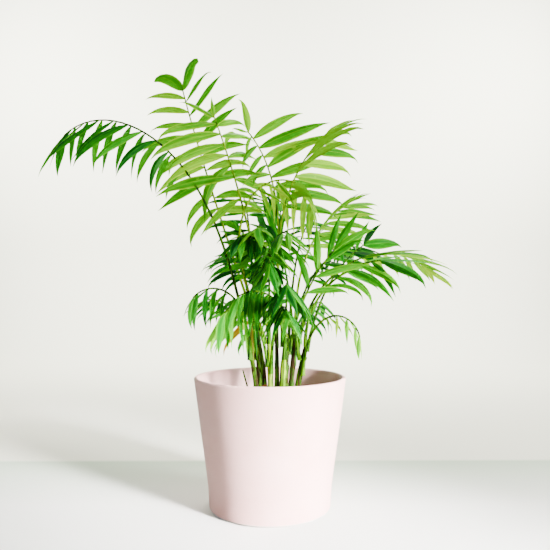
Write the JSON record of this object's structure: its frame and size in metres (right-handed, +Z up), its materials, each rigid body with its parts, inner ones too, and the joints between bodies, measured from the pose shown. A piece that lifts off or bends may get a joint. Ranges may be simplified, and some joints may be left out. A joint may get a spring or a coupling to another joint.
{
  "type": "potted parlour palm",
  "caption": "Indoor feather palm clump with slim canes and arching fronds, standing in a plain tapered round pot of soil",
  "frame": {"origin": "centre of the pot's flat underside", "axes": "+Z up along the canes; +X along the crown's wide side; the side seen in the reference view faces -Y"},
  "size_m": [0.4776, 0.3533, 0.5044],
  "materials": {
    "pot_ceramic": "matte pale pink glaze",
    "soil": "moist crumbly potting soil",
    "cane": "smooth green cane with dry brown sheaths",
    "dry_stalk": "dry brown fibre",
    "leaf_deep": "satin deep green leaf",
    "leaf_fresh": "satin fresh green leaf",
    "leaf_lime": "satin yellow-green leaf"
  },
  "bodies": {
    "root": {"cane_1": "cane", "cane_2": "cane", "cane_3": "cane", "cane_4": "cane", "cane_5": "cane", "cane_6": "cane", "cane_7": "cane", "cane_8": "cane", "cane_9": "cane", "dry_stub": "dry_stalk", "frond_back_high": "leaf_deep", "frond_back_left": "leaf_deep", "frond_back_low": "leaf_deep", "frond_back_low_left": "leaf_deep", "frond_back_low_right": "leaf_deep", "frond_back_middle": "leaf_deep", "frond_back_right": "leaf_deep", "frond_comb": "leaf_lime", "frond_crown": "leaf_lime", "frond_dark_fan": "leaf_deep", "frond_far_left": "leaf_deep", "frond_far_right": "leaf_fresh", "frond_front_center": "leaf_deep", "frond_front_fill_left": "leaf_fresh", "frond_front_high": "leaf_fresh", "frond_front_left": "leaf_fresh", "frond_front_low": "leaf_deep", "frond_front_middle": "leaf_deep", "frond_front_near": "leaf_deep", "frond_front_right": "leaf_fresh", "frond_heart": "leaf_deep", "frond_high_right": "leaf_lime", "frond_left_side": "leaf_deep", "frond_low_left": "leaf_deep", "frond_low_right": "leaf_fresh", "frond_mid_right": "leaf_fresh", "frond_over": "leaf_lime", "frond_rise_right": "leaf_fresh", "frond_tall_front": "leaf_lime", "frond_tall_left": "leaf_lime", "frond_young_right": "leaf_deep", "pot": "pot_ceramic", "soil": "soil"}
  },
  "joints": []
}
